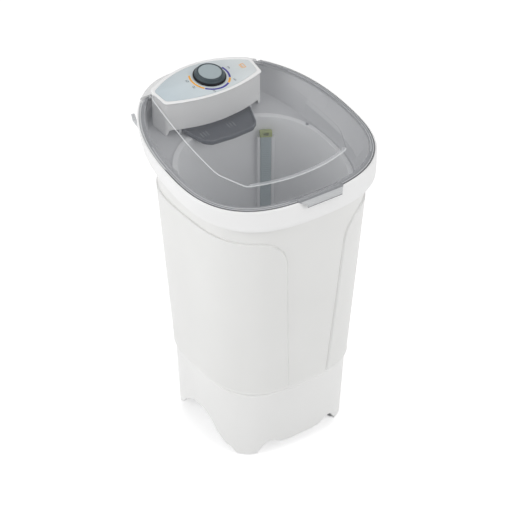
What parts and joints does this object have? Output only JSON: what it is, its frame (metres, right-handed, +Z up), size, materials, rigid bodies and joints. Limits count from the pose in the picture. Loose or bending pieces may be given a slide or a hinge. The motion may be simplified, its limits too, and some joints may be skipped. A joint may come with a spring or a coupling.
{
  "type": "semi-automatic washing machine",
  "caption": "Top-loading semi-automatic washer: tapered white cabinet, round tub with agitator, sloping rim, smoked hinged lid, console with one timer knob.",
  "frame": {"origin": "centre of the bounding box's underside, on the floor", "axes": "+Z up, the front with the lid's handle faces -Y, +X to the right seen from the front"},
  "size_m": [0.521, 0.538, 0.8661],
  "materials": {
    "white_plastic": "semi-gloss moulded",
    "pale_plastic": "satin moulded",
    "smoked_plastic": "clear smoked",
    "label_film": "satin printed film",
    "slate_plastic": "satin moulded",
    "grey_cap": "satin",
    "dark_plastic": "satin moulded",
    "green_plastic": "satin moulded",
    "black_rubber": "matt",
    "belt_rubber": "matt",
    "steel": "zinc plated",
    "grey_metal": "grey enamel"
  },
  "bodies": {
    "washer": {"cabinet": "white_plastic", "foot_pad_1": "pale_plastic", "foot_pad_2": "pale_plastic", "foot_pad_3": "pale_plastic", "foot_pad_4": "pale_plastic", "bottom_cover": "pale_plastic", "cover_screw_1": "steel", "cover_screw_2": "steel", "cover_screw_3": "steel", "cover_screw_4": "steel", "top_collar": "white_plastic", "wash_tub": "white_plastic", "tub_floor": "white_plastic", "filter_guide": "white_plastic", "tub_screw_1": "steel", "tub_screw_2": "steel", "tub_screw_3": "steel", "tub_screw_4": "steel", "console_housing": "white_plastic", "console_plate": "white_plastic", "console_label": "label_film", "timer_mechanism": "pale_plastic", "hinge_pin_left": "steel", "hinge_pin_right": "steel", "tray_rail_left": "pale_plastic", "tray_rail_right": "pale_plastic", "inlet_nozzle": "pale_plastic", "water_duct": "pale_plastic", "bearing_housing": "grey_metal", "lower_bearing": "steel", "upper_bearing": "steel", "shaft_seal": "black_rubber", "bearing_screw_1": "steel", "bearing_screw_2": "steel", "bearing_screw_3": "steel", "bearing_screw_4": "steel", "motor_bracket": "steel", "motor_housing": "grey_metal", "motor_screw_1": "steel", "motor_screw_2": "steel", "motor_screw_3": "steel", "motor_screw_4": "steel", "drive_belt": "belt_rubber", "capacitor": "slate_plastic", "capacitor_clip": "steel", "drain_elbow": "black_rubber", "cord_gland": "black_rubber", "hose_hook": "pale_plastic"},
    "lid": {"lid": "smoked_plastic"},
    "knob": {"timer_shaft": "steel", "timer_knob": "slate_plastic", "knob_cap": "grey_cap"},
    "tray": {"soap_tray": "dark_plastic"},
    "filter": {"lint_filter": "dark_plastic", "filter_cap": "green_plastic"},
    "agitator": {"agitator": "white_plastic", "agitator_shaft": "steel", "driven_pulley": "grey_metal"},
    "rotor": {"motor_shaft": "steel", "motor_pulley": "grey_metal"}
  },
  "joints": [
    {"name": "lid_hinge", "type": "hinge", "parent": "washer", "child": "lid", "pos_m": [0, 0.207, 0.83608], "axis": [-1, 0, 0], "range_deg": [0, 95]},
    {"name": "timer_turn", "type": "hinge", "parent": "washer", "child": "knob", "pos_m": [0.0135, 0.197, 0.84627], "axis": [0, 0.1781, -0.984], "range_deg": [0, 300]},
    {"name": "tray_slide", "type": "slide", "parent": "washer", "child": "tray", "axis": [0, -0.984, -0.1781], "range_m": [0, 0.04]},
    {"name": "filter_slide", "type": "slide", "parent": "washer", "child": "filter", "axis": [0.0333, 0.0426, 0.9985], "range_m": [0, 0.11]},
    {"name": "agitator_spin", "type": "hinge", "parent": "washer", "child": "agitator", "pos_m": [0, -0.043, 0.3], "axis": [0, 0, 1], "continuous": true},
    {"name": "motor_spin", "type": "hinge", "parent": "washer", "child": "rotor", "pos_m": [0.08997, 0.037, 0.1614], "axis": [0, 0, 1], "continuous": true}
  ],
  "couplings": [
    {"joint": "motor_spin", "follows": "agitator_spin", "ratio": 4.3487}
  ]
}
